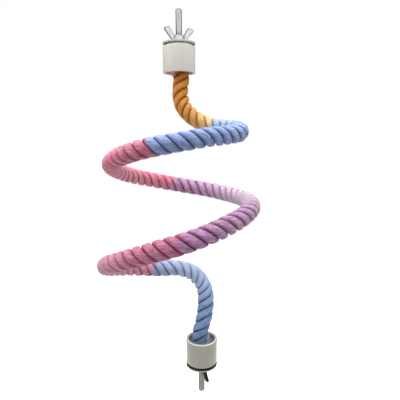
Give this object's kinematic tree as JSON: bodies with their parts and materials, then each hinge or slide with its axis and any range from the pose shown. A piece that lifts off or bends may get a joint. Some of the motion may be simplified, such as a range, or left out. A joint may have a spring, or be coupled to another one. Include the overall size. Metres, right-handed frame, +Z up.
{
  "type": "spiral rope bird perch",
  "caption": "Spiral perch of twisted cotton rope on a bendable wire, with a white cap, clamp bolt, washers and wing nut at each end for a cage's wires.",
  "frame": {"origin": "on the top bolt's axis, where its free end leaves the wing nut", "axes": "+Z up along the top bolt, +X to the right and +Y to the back as the picture shows the perch"},
  "size_m": [0.1376, 0.1407, 0.3647],
  "materials": {
    "cotton_rope": "dyed soft cotton in orange, blue, pink and lilac bands",
    "core_wire": "plain soft steel wire",
    "white_cap": "satin moulded plastic",
    "zinc_steel": "bright zinc plate",
    "hot_glue": "uneven set glue",
    "cloth_tape": "cloth tape"
  },
  "bodies": {
    "root": {"wire_core": "core_wire", "strand_a": "cotton_rope", "strand_b": "cotton_rope", "strand_c": "cotton_rope", "top_cap": "white_cap", "top_bolt": "zinc_steel", "top_glue": "hot_glue", "top_tape": "cloth_tape", "top_inner_washer": "zinc_steel", "bottom_cap": "white_cap", "bottom_bolt": "zinc_steel", "bottom_glue": "hot_glue", "bottom_tape": "cloth_tape", "bottom_inner_washer": "zinc_steel"},
    "top_clamp": {"top_outer_washer": "zinc_steel"},
    "top_nut": {"top_wing_nut": "zinc_steel"},
    "bottom_clamp": {"bottom_outer_washer": "zinc_steel"},
    "bottom_nut": {"bottom_wing_nut": "zinc_steel"}
  },
  "joints": [
    {"name": "top_clamp_travel", "type": "slide", "parent": "root", "child": "top_clamp", "axis": [0, 0, 1], "range_m": [0, 0.019]},
    {"name": "top_wing_nut_spin", "type": "hinge", "parent": "top_clamp", "child": "top_nut", "pos_m": [0, 0, 0], "axis": [0, 0, 1], "range_deg": [0, 6840]},
    {"name": "bottom_clamp_travel", "type": "slide", "parent": "root", "child": "bottom_clamp", "axis": [0, 0, -1], "range_m": [0, 0.019]},
    {"name": "bottom_wing_nut_spin", "type": "hinge", "parent": "bottom_clamp", "child": "bottom_nut", "pos_m": [0.021, -0.028, -0.3187], "axis": [0, 0, -1], "range_deg": [0, 6840]}
  ],
  "couplings": [
    {"joint": "top_clamp_travel", "follows": "top_wing_nut_spin", "m_per_rad": 0.00015915},
    {"joint": "bottom_clamp_travel", "follows": "bottom_wing_nut_spin", "m_per_rad": 0.00015915}
  ]
}
